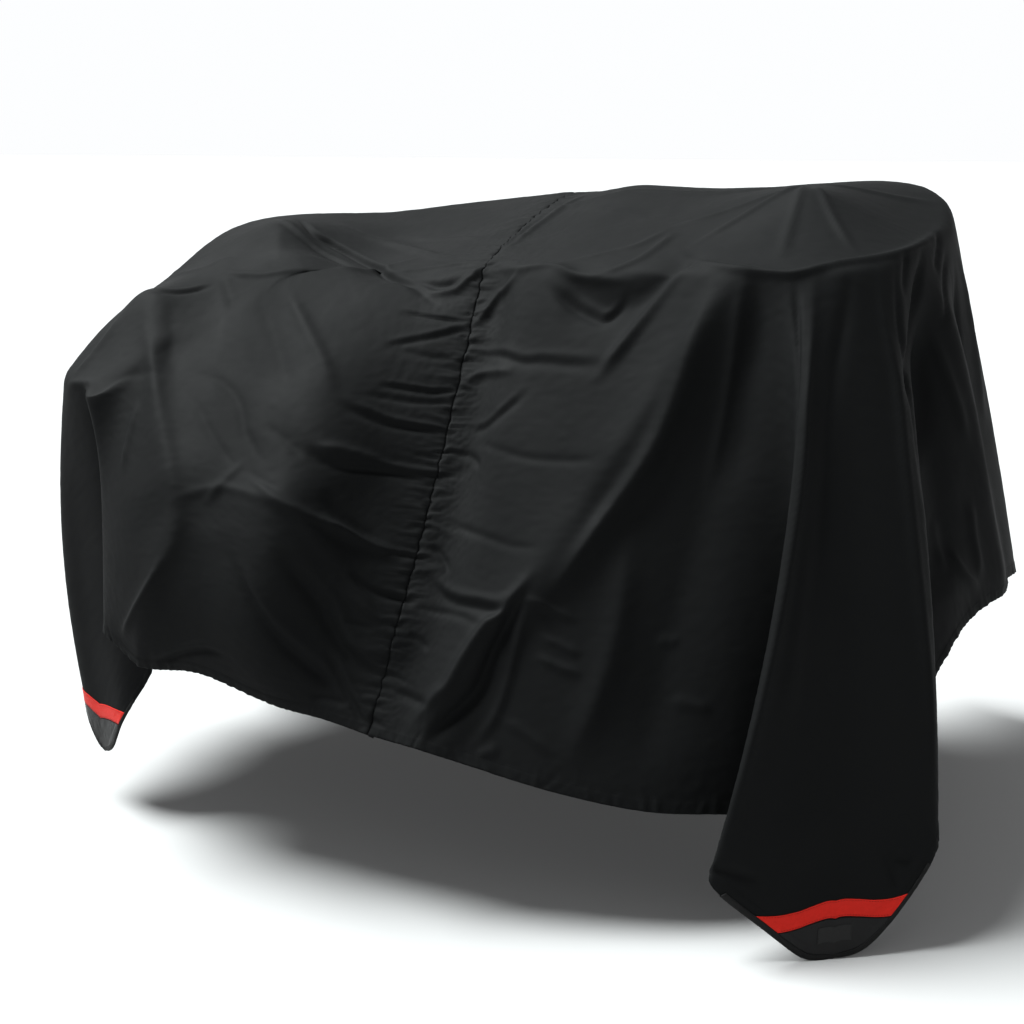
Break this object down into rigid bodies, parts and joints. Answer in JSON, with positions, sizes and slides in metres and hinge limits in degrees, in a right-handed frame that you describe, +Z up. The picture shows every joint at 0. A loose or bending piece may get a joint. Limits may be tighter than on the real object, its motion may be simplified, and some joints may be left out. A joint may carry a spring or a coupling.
{
  "type": "electronic drum cover",
  "caption": "Black cloth dust cover as it hangs over an electronic drum kit, with a gathered seam and hanging corners with red strips; hollow and open below.",
  "frame": {"origin": "the point under the top, on the seam, where the drum kit carries the cloth", "axes": "+X to the right along the kit as its front is faced, +Y from the front hem to the back hem, +Z up"},
  "size_m": [1.7833, 1.4151, 1.1675],
  "materials": {
    "cover_cloth": "satin coated polyester weave",
    "corner_patch": "smooth coated reinforcement",
    "red_strip": "satin red strip",
    "label": "woven, bare",
    "binding": "woven tape"
  },
  "bodies": {
    "root": {"panel_left": "cover_cloth", "panel_right": "cover_cloth", "corner_patch_left": "corner_patch", "corner_patch_right": "corner_patch", "corner_strip_left": "red_strip", "corner_strip_right": "red_strip", "edge_binding_left": "binding", "edge_binding_right": "binding", "blank_label": "label"}
  },
  "joints": []
}
